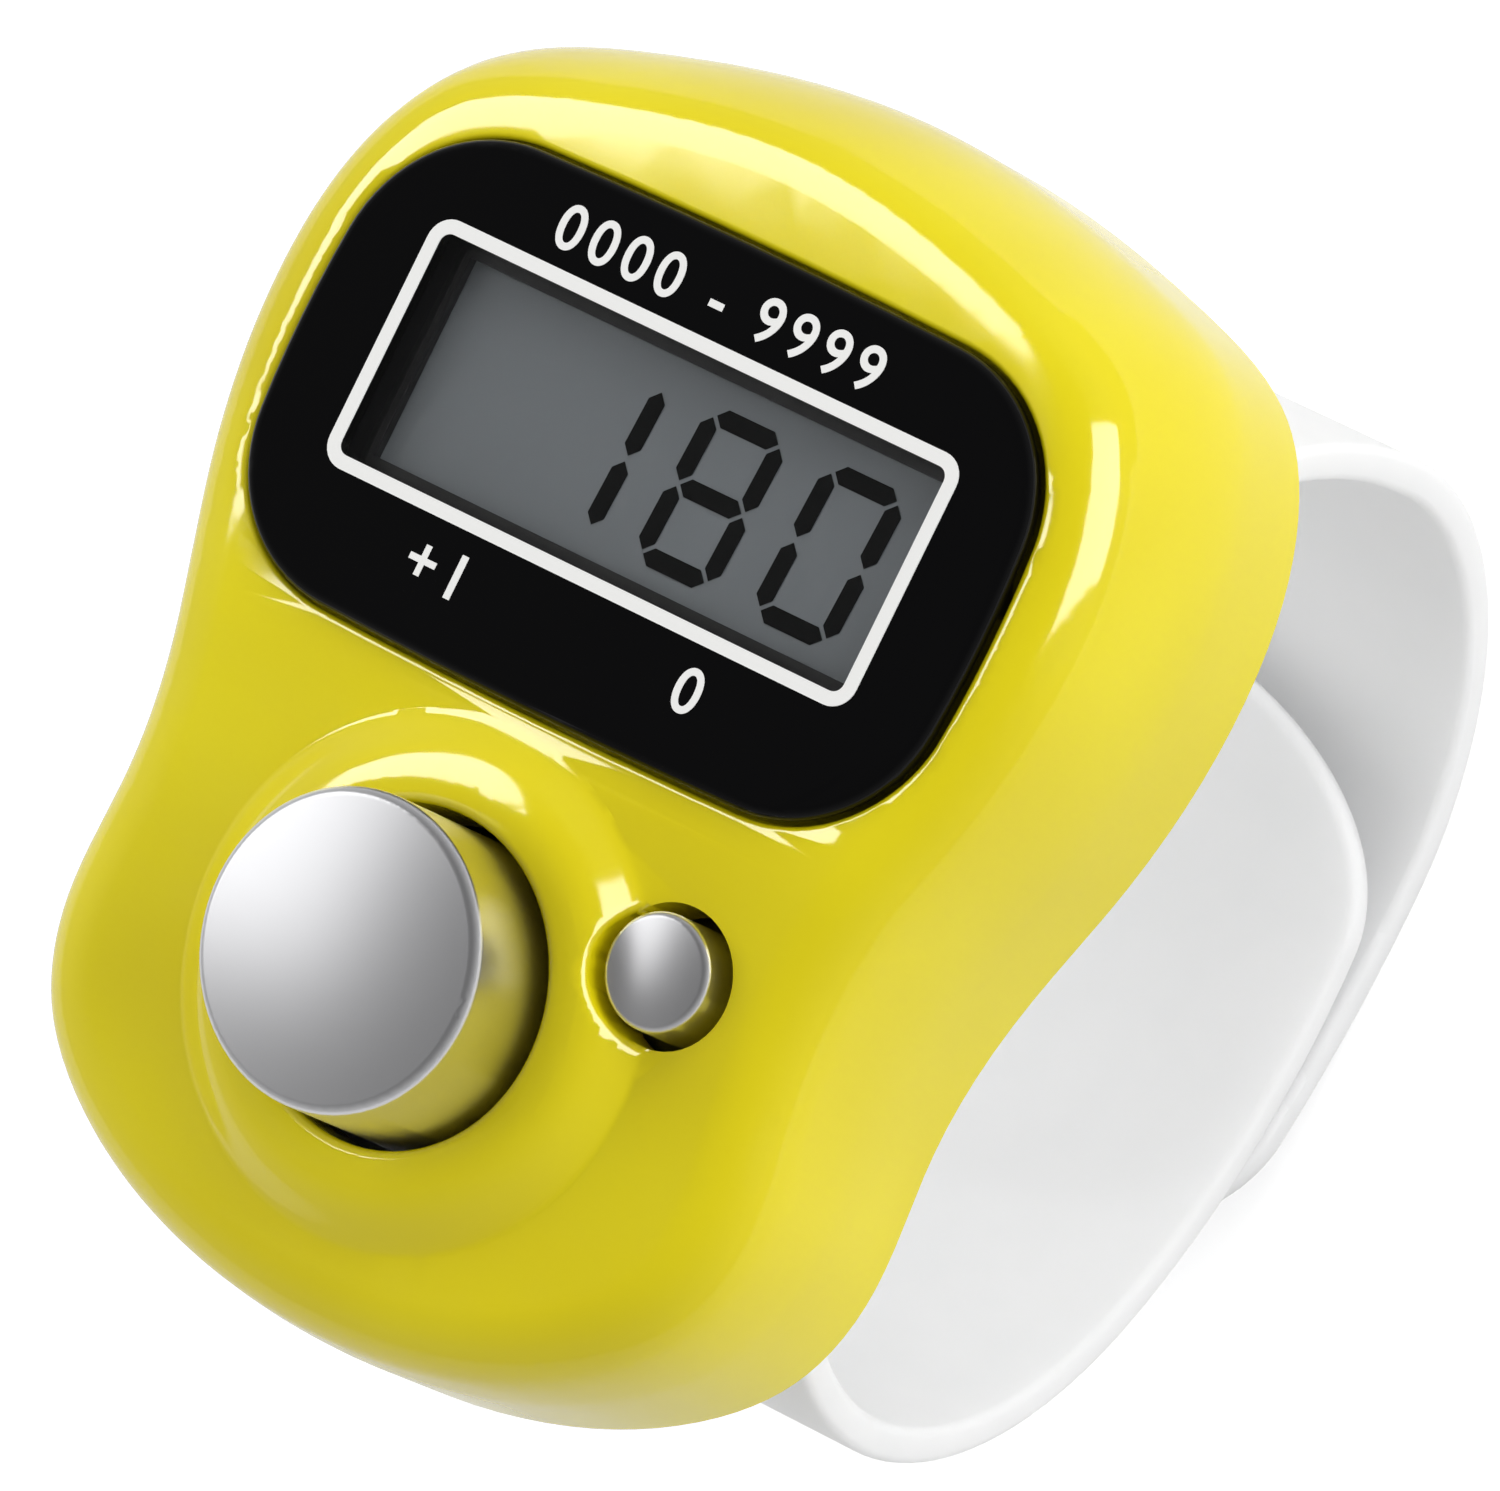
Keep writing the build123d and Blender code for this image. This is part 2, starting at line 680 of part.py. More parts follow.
with BuildPart() as negative_contact:
    with BuildSketch(Plane.YZ):
        with BuildLine():
            Polyline(
                (cell_y + contact_step + contact_arm, board_bottom_z),
                (cell_y + contact_step, board_bottom_z),
                (cell_y - contact_step, cell_top_z + contact_thickness + contact_gap),
                (cell_y - contact_step - contact_arm, cell_top_z + contact_thickness + contact_gap),
            )
            offset(amount=contact_thickness, side=Side.LEFT, closed=True)
        make_face()
    extrude(amount=contact_width / 2, both=True)
negative_contact.part.label = "negative_contact"
export_step(negative_contact.part, "parts/negative_contact.step")

clip_x = cell_radius + contact_gap
with BuildPart() as positive_contact:
    with BuildSketch(Plane((0, cell_y, 0), x_dir=(1, 0, 0), z_dir=(0, -1, 0))):
        with BuildLine():
            Polyline(
                (clip_x, cover_top_z + cell_edge_radius),
                (clip_x, board_bottom_z),
                (clip_x + clip_foot, board_bottom_z),
            )
            offset(amount=contact_thickness, side=Side.RIGHT, closed=True)
        make_face()
    extrude(amount=clip_width / 2, both=True)
positive_contact.part.label = "positive_contact"
export_step(positive_contact.part, "parts/positive_contact.step")


def screws(name, places, head_z, length):
    """Group of cross-head screws that point up, with the undersides of their heads at one height."""
    with BuildPart() as group:
        with BuildSketch(Plane.XY.offset(head_z)):
            with Locations(*places):
                Circle(screw_head_diameter / 2)
        extrude(amount=screw_head_height)
        with BuildSketch(Plane.XY.offset(head_z + screw_head_height)):
            with Locations(*places):
                Circle(screw_diameter / 2)
        extrude(amount=length)
        with BuildSketch(Plane.XY.offset(head_z)):
            with Locations(*places):
                Rectangle(cross_length, cross_width)
                Rectangle(cross_width, cross_length)
        extrude(amount=cross_depth, mode=Mode.SUBTRACT)
    group.part.label = name
    export_step(group.part, f"parts/{name}.step")


screws("cover_screws", cover_screw_places, rim_z + screw_recess, screw_length)
screws("board_screws", board_screw_places, board_bottom_z - screw_head_height, board_screw_length)


def band_prong(name, end, root, belly_radius, corner_radius, corner_angle, floor_radius, floor_angle, tip):
    """One springy prong of the finger band, from the bead inside the cover round to its rounded tongue."""
    outer = end * (root + band_thickness / 2)
    inward = Side.RIGHT if end > 0 else Side.LEFT
    with BuildPart() as prong:
        with BuildSketch(Plane.YZ):
            with BuildLine():
                stem = Line((outer, bead_top_z), (outer, rim_z - band_straight))
                kick_arc = JernArc(stem @ 1, stem % 1, band_kick_radius, end * band_kick_angle)
                belly = JernArc(kick_arc @ 1, kick_arc % 1, belly_radius, -end * band_kick_angle)
                corner = JernArc(belly @ 1, belly % 1, corner_radius, -end * corner_angle)
                floor = JernArc(corner @ 1, corner % 1, floor_radius, -end * floor_angle)
                offset(amount=band_thickness, side=inward, closed=True)
            make_face()
        extrude(amount=band_width / 2, both=True)
        tongue_y = (floor @ 1).X
        with BuildSketch(Plane.XY):
            with Locations((0, tongue_y + end * tip)):
                Ellipse(band_width / 2, tip)
            with Locations((0, tongue_y + end * (tip + half_length))):
                Rectangle(band_width, body_length)
        extrude(amount=window_top_z, mode=Mode.INTERSECT)
        fillet(prong.edges().filter_by(GeomType.LINE, reverse=True), radius=band_edge_radius)
        with BuildSketch(Plane((0, end * root, cover_top_z))):
            Rectangle(band_width - 2 * bead_inset, bead_width)
        extrude(amount=bead_height)
    prong.part.label = name
    export_step(prong.part, f"parts/{name}.step")


band_prong(
    "upper_band",
    1,
    upper_root_y,
    upper_belly_radius,
    upper_corner_radius,
    upper_corner_angle,
    upper_floor_share * band_span,
    upper_floor_angle,
    upper_tip,
)
band_prong(
    "lower_band",
    -1,
    lower_root_y,
    lower_belly_radius,
    lower_corner_radius,
    lower_corner_angle,
    lower_floor_share * band_span,
    lower_floor_angle,
    lower_tip,
)
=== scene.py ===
# %% [markdown]
# # A finger tally counter
# This lesson dresses a small yellow finger counter: a glossy pear-shaped housing, a black display window,
# two chrome keys and a white plastic band that springs round a finger. The solids come from the packed
# CAD frame, in metres, so every new piece is placed where the CAD says.

# %% Load the frame
import math

import bpy
import numpy as np
from mathutils import Matrix, Vector


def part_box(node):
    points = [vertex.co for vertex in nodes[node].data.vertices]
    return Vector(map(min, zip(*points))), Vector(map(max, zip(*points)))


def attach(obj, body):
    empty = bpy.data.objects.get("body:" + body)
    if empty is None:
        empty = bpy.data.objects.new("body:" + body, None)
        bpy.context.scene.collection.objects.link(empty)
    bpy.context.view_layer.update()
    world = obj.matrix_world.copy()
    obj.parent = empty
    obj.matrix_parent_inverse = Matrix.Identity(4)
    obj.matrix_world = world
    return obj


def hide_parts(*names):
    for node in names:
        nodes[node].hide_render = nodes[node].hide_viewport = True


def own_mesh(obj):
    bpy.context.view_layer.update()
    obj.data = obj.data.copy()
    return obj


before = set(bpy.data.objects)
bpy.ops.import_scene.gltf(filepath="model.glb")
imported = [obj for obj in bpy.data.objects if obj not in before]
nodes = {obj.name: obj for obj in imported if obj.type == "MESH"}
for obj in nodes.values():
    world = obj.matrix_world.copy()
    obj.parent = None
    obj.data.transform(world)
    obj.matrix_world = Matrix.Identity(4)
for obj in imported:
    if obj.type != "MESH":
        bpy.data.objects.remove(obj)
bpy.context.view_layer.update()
mm = 0.001
scene = bpy.context.scene
scene.view_settings.view_transform = "Standard"

# %% [markdown]
# ## Camera
# The photograph looks down on the counter from its right-hand side, with the camera rolled so that the
# display climbs to the left. Three angles could turn the camera, but they are hard to check, so its three
# axes are written out and put into its matrix. A long lens keeps the perspective weak.

# %% Camera axes
side_turn = math.radians(29)
roll = math.radians(26.1)
to_camera = Vector((math.sin(side_turn), 0, math.cos(side_turn)))
level = Vector((math.cos(side_turn), 0, -math.sin(side_turn)))
along = Vector((0, 1, 0))
image_right = math.cos(roll) * level + math.sin(roll) * along
image_up = math.cos(roll) * along - math.sin(roll) * level
print("towards the camera", [round(part, 3) for part in to_camera])

# %% Display middle
window_low, window_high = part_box("display_window")
bezel_low, bezel_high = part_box("display_bezel")
display_lift = 0.4 * mm
display_y = (bezel_low.y + bezel_high.y) / 2 + display_lift
display_middle = Vector((0, display_y, window_high.z))
print("display middle mm", [round(part / mm, 2) for part in display_middle])

# %% Camera
photo_width = 1500
pixels_per_mm = 33.7
camera_distance = 480 * mm
display_left_of_middle = 3.258 * mm
display_above_middle = 8.45 * mm
camera_place = display_middle + camera_distance * to_camera
camera_place += display_left_of_middle * image_right - display_above_middle * image_up

bpy.ops.object.select_all(action="DESELECT")
bpy.ops.object.camera_add(location=camera_place)
camera = bpy.context.object
camera_turn = Matrix((image_right, image_up, to_camera)).transposed().to_4x4()
camera.matrix_world = Matrix.Translation(camera_place) @ camera_turn
camera.data.sensor_width = 36
camera.data.lens = pixels_per_mm * (camera_distance / mm) * camera.data.sensor_width / photo_width
camera.data.clip_start = 10 * mm
scene.camera = camera
print("camera", [round(part, 4) for part in camera_place], "lens", round(camera.data.lens, 1))

# %% [markdown]
# ## Light cards
# Gloss plastic shows its lamps, so a card of light stands where the photograph shows a reflection: an
# oval one up on the left for the streak over the window, and one on the right for the patch on the
# shoulder. Plain softboxes would do it, but from other sides they would whiten the window and the band as
# well. These cards give no diffuse light, and light linking lets only the housing mirror them. The keys
# have a weaker card of their own.

# %% Light cards
lamp_target = Vector((0, 0, 30 * mm))


def softbox(name, direction, distance, width, height, power):
    """Adds an area lamp that faces the counter from a direction."""
    away = Vector(direction).normalized()
    bpy.ops.object.light_add(type="AREA", location=lamp_target + distance * away)
    lamp = bpy.context.object
    lamp.name = name
    lamp.data.shape = "RECTANGLE"
    lamp.data.size = width
    lamp.data.size_y = height
    lamp.data.energy = power
    lamp.rotation_euler = away.to_track_quat("Z", "Y").to_euler()
    lamp.visible_camera = False
    return lamp


head_card = softbox("head_card", (-0.60, 0.34, 0.72), distance=0.5, width=0.44, height=0.30, power=3.0)
head_card.data.shape = "ELLIPSE"
right_card = softbox("right_card", (0.70, 0.46, 0.55), distance=0.45, width=0.34, height=0.32, power=3.0)
key_card = softbox("key_card", (-0.72, 0.05, 0.69), distance=0.5, width=0.4, height=0.32, power=0.58)
glossy_yellow = bpy.data.collections.new("pieces_that_mirror_the_cards")
glossy_keys = bpy.data.collections.new("keys_that_mirror_their_card")
for card, mirrors in ((head_card, glossy_yellow), (right_card, glossy_yellow), (key_card, glossy_keys)):
    card.visible_diffuse = False
    card.light_linking.receiver_collection = mirrors
    print(card.name, "is mirrored by", mirrors.name)

# %% [markdown]
# ## Soft fills
# The plain light comes from three wide softboxes that no gloss mirrors: left, right and behind the head.
# One large lamp could do it too, but three leave a soft shade on the white band from every side.

# %% Soft fills
left_fill = softbox("left_fill", (-0.84, -0.15, 0.60), distance=0.6, width=0.5, height=0.45, power=1.5)
head_fill = softbox("head_fill", (0.10, 0.95, 0.55), distance=0.7, width=0.5, height=0.4, power=1.4)
right_fill = softbox("right_fill", (0.85, 0.35, 0.35), distance=0.7, width=0.6, height=0.5, power=2.5)
for fill in (left_fill, head_fill, right_fill):
    fill.visible_glossy = False

# %% [markdown]
# ## Node helpers
# The room, the floor and every finish are node trees. They could be built node by node, but one small
# function that adds a node, sets it and links it keeps the cells below short, and another turns an sRGB
# hex value into the linear colour that a shader needs.

# %% Node helpers


def colour(code):
    """Linear colour of an sRGB hex value."""
    parts = [int(code[i : i + 2], 16) / 255 for i in (1, 3, 5)]
    return [p / 12.92 if p <= 0.04045 else ((p + 0.055) / 1.055) ** 2.4 for p in parts] + [1]


def add_node(tree, kind, inputs=None, stops=(), **settings):
    """Adds a shader node with its settings and colour stops, and fills its inputs by value or by link."""
    node = tree.nodes.new(kind)
    for name, value in settings.items():
        setattr(node, name, value)
    for name, value in (inputs or {}).items():
        if isinstance(value, bpy.types.NodeSocket):
            tree.links.new(value, node.inputs[name])
        else:
            node.inputs[name].default_value = value
    for index, (position, code) in enumerate(stops):
        node.color_ramp.elements[index].position = position
        node.color_ramp.elements[index].color = colour(code)
    return node


print("white is", colour("#FFFFFF"), "and middle grey is", [round(part, 3) for part in colour("#808080")])

# %% [markdown]
# ## The room
# The photograph has a plain white ground. A bright white room would give that, but it would also bleach
# the gloss. So the room is white to the camera alone, gives an even, weaker light to the counter, and
# what gloss mirrors of it fades from the horizon to the ceiling, which keeps the black window black.

# %% The room
even_light = 0.39
horizon_height, ceiling_height = 0.2, 0.9
horizon_light, ceiling_light = 0.48, 0.18
world = bpy.data.worlds.new("studio")
scene.world = world
world.use_nodes = True
sky = world.node_tree
sky.nodes.clear()
rays = add_node(sky, "ShaderNodeLightPath").outputs
direction = add_node(sky, "ShaderNodeTexCoord").outputs["Generated"]
height = add_node(sky, "ShaderNodeSeparateXYZ", {"Vector": direction}).outputs["Z"]
fade = {
    "From Min": horizon_height,
    "From Max": ceiling_height,
    "To Min": horizon_light,
    "To Max": ceiling_light,
}
ceiling = add_node(sky, "ShaderNodeMapRange", {"Value": height, **fade}).outputs["Result"]
mirrored = add_node(sky, "ShaderNodeMix", {"Factor": rays["Is Glossy Ray"], "A": even_light, "B": ceiling})
seen = add_node(
    sky, "ShaderNodeMix", {"Factor": rays["Is Camera Ray"], "A": mirrored.outputs["Result"], "B": 1.0}
)
background = add_node(
    sky, "ShaderNodeBackground", {"Color": colour("#FFFFFF"), "Strength": seen.outputs["Result"]}
)
add_node(sky, "ShaderNodeOutputWorld", {"Surface": background.outputs["Background"]})
print("room light", even_light, "mirrored", horizon_light, "to", ceiling_light)

# %% [markdown]
# ## The floor
# The counter stands on white paper. More light would whiten the paper, and the counter with it, so the
# paper glows a little instead, for the camera. It is still lit, and so keeps the shadow. Gloss and glass
# see only a small share of the glow, so that the yellow keeps its colour low down.

# %% The floor
paper_glow = 0.45
mirrored_share = 0.15
bpy.ops.mesh.primitive_plane_add(size=3)
floor = bpy.context.object
floor.name = "floor"
paper = bpy.data.materials.new("white_paper_sweep")
paper.use_nodes = True
sheet = paper.node_tree
sheet.nodes.clear()
rays = add_node(sheet, "ShaderNodeLightPath").outputs
in_gloss = {0: rays["Is Glossy Ray"], 1: rays["Is Transmission Ray"]}
mirrored = add_node(sheet, "ShaderNodeMath", in_gloss, operation="MAXIMUM").outputs[0]
dimmed = add_node(sheet, "ShaderNodeMath", {0: mirrored, 1: mirrored_share}, operation="MULTIPLY")
in_sight = {0: rays["Is Camera Ray"], 1: dimmed.outputs[0]}
looked_at = add_node(sheet, "ShaderNodeMath", in_sight, operation="MAXIMUM").outputs[0]
glow = add_node(sheet, "ShaderNodeMapRange", {"Value": looked_at, "To Min": 0.0, "To Max": paper_glow})
paper_shader = add_node(
    sheet,
    "ShaderNodeBsdfPrincipled",
    {
        "Base Color": colour("#F2F2F2"),
        "Roughness": 0.9,
        "Emission Color": colour("#FFFFFF"),
        "Emission Strength": glow.outputs["Result"],
    },
)
add_node(sheet, "ShaderNodeOutputMaterial", {"Surface": paper_shader.outputs["BSDF"]})
floor.data.materials.append(paper)
print("floor", floor.dimensions.x, "m wide")

# %% [markdown]
# ## Finishes
# Each finish starts from the real material. Every one could be a node tree of its own from the first node
# on, but they all have the same beginning, so one function makes a material with a single Principled
# shader and hands back its tree, and the cells below only add what makes that material itself.

# %% Finish helper


def new_finish(name, code, **values):
    """A material of one Principled shader with plain values, and the Object coordinates for its patterns."""
    material = bpy.data.materials.new(name)
    material.use_nodes = True
    tree = material.node_tree
    tree.nodes.clear()
    inputs = {key.replace("_", " ").title().replace("Ior", "IOR"): value for key, value in values.items()}
    inputs["Base Color"] = colour(code)
    shader = add_node(tree, "ShaderNodeBsdfPrincipled", inputs)
    add_node(tree, "ShaderNodeOutputMaterial", {"Surface": shader.outputs["BSDF"]})
    place = add_node(tree, "ShaderNodeTexCoord").outputs["Object"]
    print("finish", name, code)
    return material, tree, shader.inputs, place


# %% [markdown]
# ### Yellow ABS
# The housing is injection-moulded ABS from a polished mould: strong colour, a sharp gloss, and a faint
# waviness that only shows in the reflections. A flat yellow would look like paint on a screen, so a slow
# noise shifts the colour a little, and a finer one ripples the gloss.

# %% Yellow ABS
# To the eye: a deep even yellow under crisp lights whose edges waver slightly.
flow_size = 9 * mm
ripple_size = 1.5 * mm
yellow_abs, tree, sockets, place = new_finish(
    "polished_yellow_abs", "#F0DF12", roughness=0.1, ior=1.54, specular_ior_level=0.5
)
flow = add_node(tree, "ShaderNodeTexNoise", {"Vector": place, "Scale": 1 / flow_size, "Detail": 1.0})
yellows = ((0.3, "#E9D70C"), (0.7, "#F3E316"))
tint = add_node(tree, "ShaderNodeValToRGB", {"Fac": flow.outputs["Fac"]}, yellows)
tree.links.new(tint.outputs["Color"], sockets["Base Color"])
ripples = {"Vector": place, "Scale": 1 / ripple_size, "Detail": 2.0}
ripple = add_node(tree, "ShaderNodeTexNoise", ripples).outputs["Fac"]
gloss = add_node(tree, "ShaderNodeMapRange", {"Value": ripple, "To Min": 0.06, "To Max": 0.14})
tree.links.new(gloss.outputs["Result"], sockets["Roughness"])
wave = add_node(tree, "ShaderNodeBump", {"Strength": 0.04, "Distance": 0.05 * mm, "Height": ripple})
tree.links.new(wave.outputs["Normal"], sockets["Normal"])

# %% [markdown]
# ### Chrome plating
# The keys are plated plastic: almost no colour of their own, and a soft blur from the plastic under the
# plating. A perfect mirror would show every lamp as a hard shape, so the roughness is fairly high, and a
# noise that is stretched into lines varies it a little, as fine polishing does.

# %% Chrome plating
# To the eye: a pale grey disc that shades softly from white to grey.
polish_size = 0.6 * mm
polish_stretch = (0.12, 1.0, 1.0)
chrome, tree, sockets, place = new_finish("bright_chrome_plate", "#E0E0E2", metallic=1.0, roughness=0.29)
lines = add_node(tree, "ShaderNodeMapping", {"Vector": place, "Scale": polish_stretch}).outputs["Vector"]
haze = add_node(tree, "ShaderNodeTexNoise", {"Vector": lines, "Scale": 1 / polish_size, "Detail": 1.0})
blur = add_node(
    tree, "ShaderNodeMapRange", {"Value": haze.outputs["Fac"], "To Min": 0.285, "To Max": 0.295}
)
tree.links.new(blur.outputs["Result"], sockets["Roughness"])

# %% [markdown]
# ### White band plastic
# The band is a soft polypropylene, milky white, with light that creeps a millimetre or so into it. A
# plain white would look like paper, so subsurface scattering gives the glow at the edges, and a slow
# noise clouds the white a little.

# %% White band plastic
# To the eye: a clean milky white with soft shadows and no hard shine.
cloud_size = 5 * mm
band_white, tree, sockets, place = new_finish(
    "milky_polypropylene",
    "#F8F8F9",
    roughness=0.3,
    ior=1.49,
    specular_ior_level=0.15,
    subsurface_weight=0.7,
    subsurface_radius=(1.0, 1.0, 1.0),
    subsurface_scale=1.5 * mm,
)
cloud = add_node(tree, "ShaderNodeTexNoise", {"Vector": place, "Scale": 1 / cloud_size, "Detail": 2.0})
whites = ((0.35, "#F5F6F7"), (0.7, "#FAFAFB"))
milk = add_node(tree, "ShaderNodeValToRGB", {"Fac": cloud.outputs["Fac"]}, whites)
tree.links.new(milk.outputs["Color"], sockets["Base Color"])

# %% [markdown]
# ### Window acrylic
# The window is a polished acrylic plate, printed black from behind round a clear pane. One material with
# a painted mask could be both, but two materials on two pieces stay sharp at any size. A noise in the
# gloss stands for the dust and smears of use.

# %% Window acrylic
# To the eye: the border is a deep black with a thin shine, and the pane is hardly there at all.
dust_size = 2 * mm
smear_size = 3 * mm
black_acrylic, tree, sockets, place = new_finish(
    "black_printed_acrylic", "#050506", roughness=0.05, ior=1.49, specular_ior_level=0.2
)
dust = add_node(tree, "ShaderNodeTexNoise", {"Vector": place, "Scale": 1 / dust_size, "Detail": 4.0})
scuff = add_node(tree, "ShaderNodeMapRange", {"Value": dust.outputs["Fac"], "To Min": 0.03, "To Max": 0.09})
tree.links.new(scuff.outputs["Result"], sockets["Roughness"])

clear_acrylic, tree, sockets, place = new_finish(
    "clear_acrylic", "#FFFFFF", roughness=0.01, ior=1.32, transmission_weight=1.0
)
smear = add_node(tree, "ShaderNodeTexNoise", {"Vector": place, "Scale": 1 / smear_size, "Detail": 3.0})
film = add_node(tree, "ShaderNodeMapRange", {"Value": smear.outputs["Fac"], "To Min": 0.0, "To Max": 0.03})
tree.links.new(film.outputs["Result"], sockets["Roughness"])

# %% [markdown]
# ### Screen ink and bezel plastic
# The white line and numbers are screen-printed ink, and the bezel under the pane is black ABS from a
# spark-eroded mould. Both are nearly flat colours, so a fine grain in the bump alone tells them from
# paint.

# %% Screen ink and bezel plastic
# To the eye: the ink is a matt white, and the bezel a dull black that frames the display.
ink_grain = 0.2 * mm
spark_grain = 0.15 * mm
white_ink, tree, sockets, place = new_finish("white_screen_ink", "#FCFCFA", roughness=0.45)
grain = add_node(tree, "ShaderNodeTexNoise", {"Vector": place, "Scale": 1 / ink_grain, "Detail": 2.0})
ink_bump = add_node(
    tree, "ShaderNodeBump", {"Strength": 0.1, "Distance": 0.01 * mm, "Height": grain.outputs["Fac"]}
)
tree.links.new(ink_bump.outputs["Normal"], sockets["Normal"])

bezel_black, tree, sockets, place = new_finish("matt_black_abs", "#101011", roughness=0.5)
grain = add_node(tree, "ShaderNodeTexNoise", {"Vector": place, "Scale": 1 / spark_grain, "Detail": 2.0})
spark = add_node(
    tree, "ShaderNodeBump", {"Strength": 0.2, "Distance": 0.02 * mm, "Height": grain.outputs["Fac"]}
)
tree.links.new(spark.outputs["Normal"], sockets["Normal"])

# %% [markdown]
# ### Liquid crystal
# A display without its own light is a grey polariser film, in which the driven segments turn dark. Real
# polarising can't be had from a shader, so the film is a grey with a slow change of shade, and the
# segments are a nearly black colour with almost no gloss.

# %% Liquid crystal
# To the eye: a cool grey ground with soft dark digits on it.
film_shade_size = 12 * mm
crystal_size = 0.5 * mm
polariser, tree, sockets, place = new_finish("grey_polariser_film", "#8F9599", roughness=0.35)
shade = add_node(tree, "ShaderNodeTexNoise", {"Vector": place, "Scale": 1 / film_shade_size, "Detail": 0.0})
greys = ((0.0, "#898F93"), (1.0, "#949A9E"))
tint = add_node(tree, "ShaderNodeValToRGB", {"Fac": shade.outputs["Fac"]}, greys)
tree.links.new(tint.outputs["Color"], sockets["Base Color"])

crystal_black, tree, sockets, place = new_finish(
    "dark_liquid_crystal", "#040405", roughness=0.5, specular_ior_level=0.03
)
depth = add_node(tree, "ShaderNodeTexNoise", {"Vector": place, "Scale": 1 / crystal_size, "Detail": 1.0})
darks = ((0.0, "#030404"), (1.0, "#060708"))
tint = add_node(tree, "ShaderNodeValToRGB", {"Fac": depth.outputs["Fac"]}, darks)
tree.links.new(tint.outputs["Color"], sockets["Base Color"])

# %% [markdown]
# ### Inner finishes
# What lies inside the closed housing is only seen when the counter is opened, but each piece still has
# its real material: a green board, black epoxy, plated steel, silicone rubber and glass. They differ in
# their two tones, the size of their grain and their gloss, so one list and one loop make them all.

# %% Inner finishes listed
# To the eye: rubber is dull and dark, metal bright, glass clear, and the board a mottled green.
rubber = {"roughness": 0.7}
glass = {"roughness": 0.02, "ior": 1.52, "transmission_weight": 1.0}
metal = {"roughness": 0.28, "metallic": 1.0}
silvering = {"roughness": 0.4, "metallic": 0.6}
inner = {
    "window_tape": ("black_foam_tape", "#0E0E0E", "#1C1C1C", 0.5 * mm, {"roughness": 0.85}),
    "front_glass": ("thin_soda_glass", "#EEF4F0", "#F6FAF7", 6.0 * mm, glass),
    "rear_glass": ("thin_soda_glass_rear", "#EEF4F0", "#F6FAF7", 6.0 * mm, glass),
    "display_reflector": ("silvered_film", "#9DA09B", "#B2B5B0", 0.6 * mm, silvering),
    "support_strip": ("grey_silicone", "#343436", "#424244", 0.8 * mm, rubber),
    "count_pill": ("count_carbon_rubber", "#070707", "#101010", 0.3 * mm, rubber),
    "reset_pill": ("reset_carbon_rubber", "#070707", "#101010", 0.3 * mm, rubber),
    "circuit_board": ("green_solder_mask", "#18502A", "#2A6A38", 1.2 * mm, {"roughness": 0.35}),
    "chip_blob": ("black_epoxy", "#080808", "#131313", 0.8 * mm, {"roughness": 0.25}),
    "chip_components": ("brown_ceramic", "#6C4E31", "#876545", 0.4 * mm, {"roughness": 0.5}),
    "button_cell": ("plated_cell_steel", "#C0C0C2", "#D0D0D2", 0.5 * mm, metal),
    "negative_contact": ("negative_spring_steel", "#C6C2B9", "#D5D1C8", 0.4 * mm, metal),
    "positive_contact": ("positive_spring_steel", "#C6C2B9", "#D5D1C8", 0.4 * mm, metal),
    "board_screws": ("plated_board_screws", "#AEAEB0", "#C2C2C4", 0.3 * mm, metal),
    "cover_screws": ("plated_screw_steel", "#A9A9AB", "#BEBEC0", 0.3 * mm, metal),
}
print("inner finishes", len(inner))

# %% Inner finishes made


def dress(node, material):
    """Gives a CAD node its finish."""
    nodes[node].data.materials.clear()
    nodes[node].data.materials.append(material)


for node, (name, dark, light, grain_size, values) in inner.items():
    material, tree, sockets, place = new_finish(name, light, **values)
    grain = add_node(tree, "ShaderNodeTexNoise", {"Vector": place, "Scale": 1 / grain_size, "Detail": 3.0})
    tones = add_node(tree, "ShaderNodeValToRGB", {"Fac": grain.outputs["Fac"]}, ((0.3, dark), (0.7, light)))
    tree.links.new(tones.outputs["Color"], sockets["Base Color"])
    grit = add_node(
        tree, "ShaderNodeBump", {"Strength": 0.1, "Distance": 0.01 * mm, "Height": grain.outputs["Fac"]}
    )
    tree.links.new(grit.outputs["Normal"], sockets["Normal"])
    dress(node, material)
dress("display_polariser", polariser)

# %% [markdown]
# ### Banded contact strip
# The strip that joins the display to the board is silicone in thin slices, black carbon and pale rubber
# by turns, about ten to the millimetre. Slices could be cut in the mesh, but a wave pattern does it with
# no faces. It is drawn at three to the millimetre, so that it shows.

# %% Banded contact strip
# To the eye: fine pale stripes across a black strip.
band_pitch = 0.33 * mm
banded, tree, sockets, place = new_finish("banded_silicone", "#2A2A2C", **rubber)
slices = add_node(tree, "ShaderNodeTexWave", {"Vector": place, "Scale": math.pi / 10 / band_pitch})
stripes = ((0.3, "#161617"), (0.7, "#8F8C86"))
tones = add_node(tree, "ShaderNodeValToRGB", {"Fac": slices.outputs["Fac"]}, stripes)
tree.links.new(tones.outputs["Color"], sockets["Base Color"])
dress("zebra_strip", banded)

# %% [markdown]
# ## Rigid pieces from the frame
# The housing, its cover, the bezel, the keys, the band and the screws are hard pieces whose shape is the
# CAD's. A CAD node arrives as loose triangles, which shade as facets. The pieces could be modelled again,
# but a copy of the mesh that is welded and smoothed up to its sharp edges keeps the true shape.

# %% Welding and smoothing
smooth_angle = math.radians(35)
weld_distance = 0.001 * mm


def pick(piece):
    """Selects one piece alone and makes it the active one."""
    bpy.ops.object.select_all(action="DESELECT")
    piece.select_set(True)
    bpy.context.view_layer.objects.active = piece


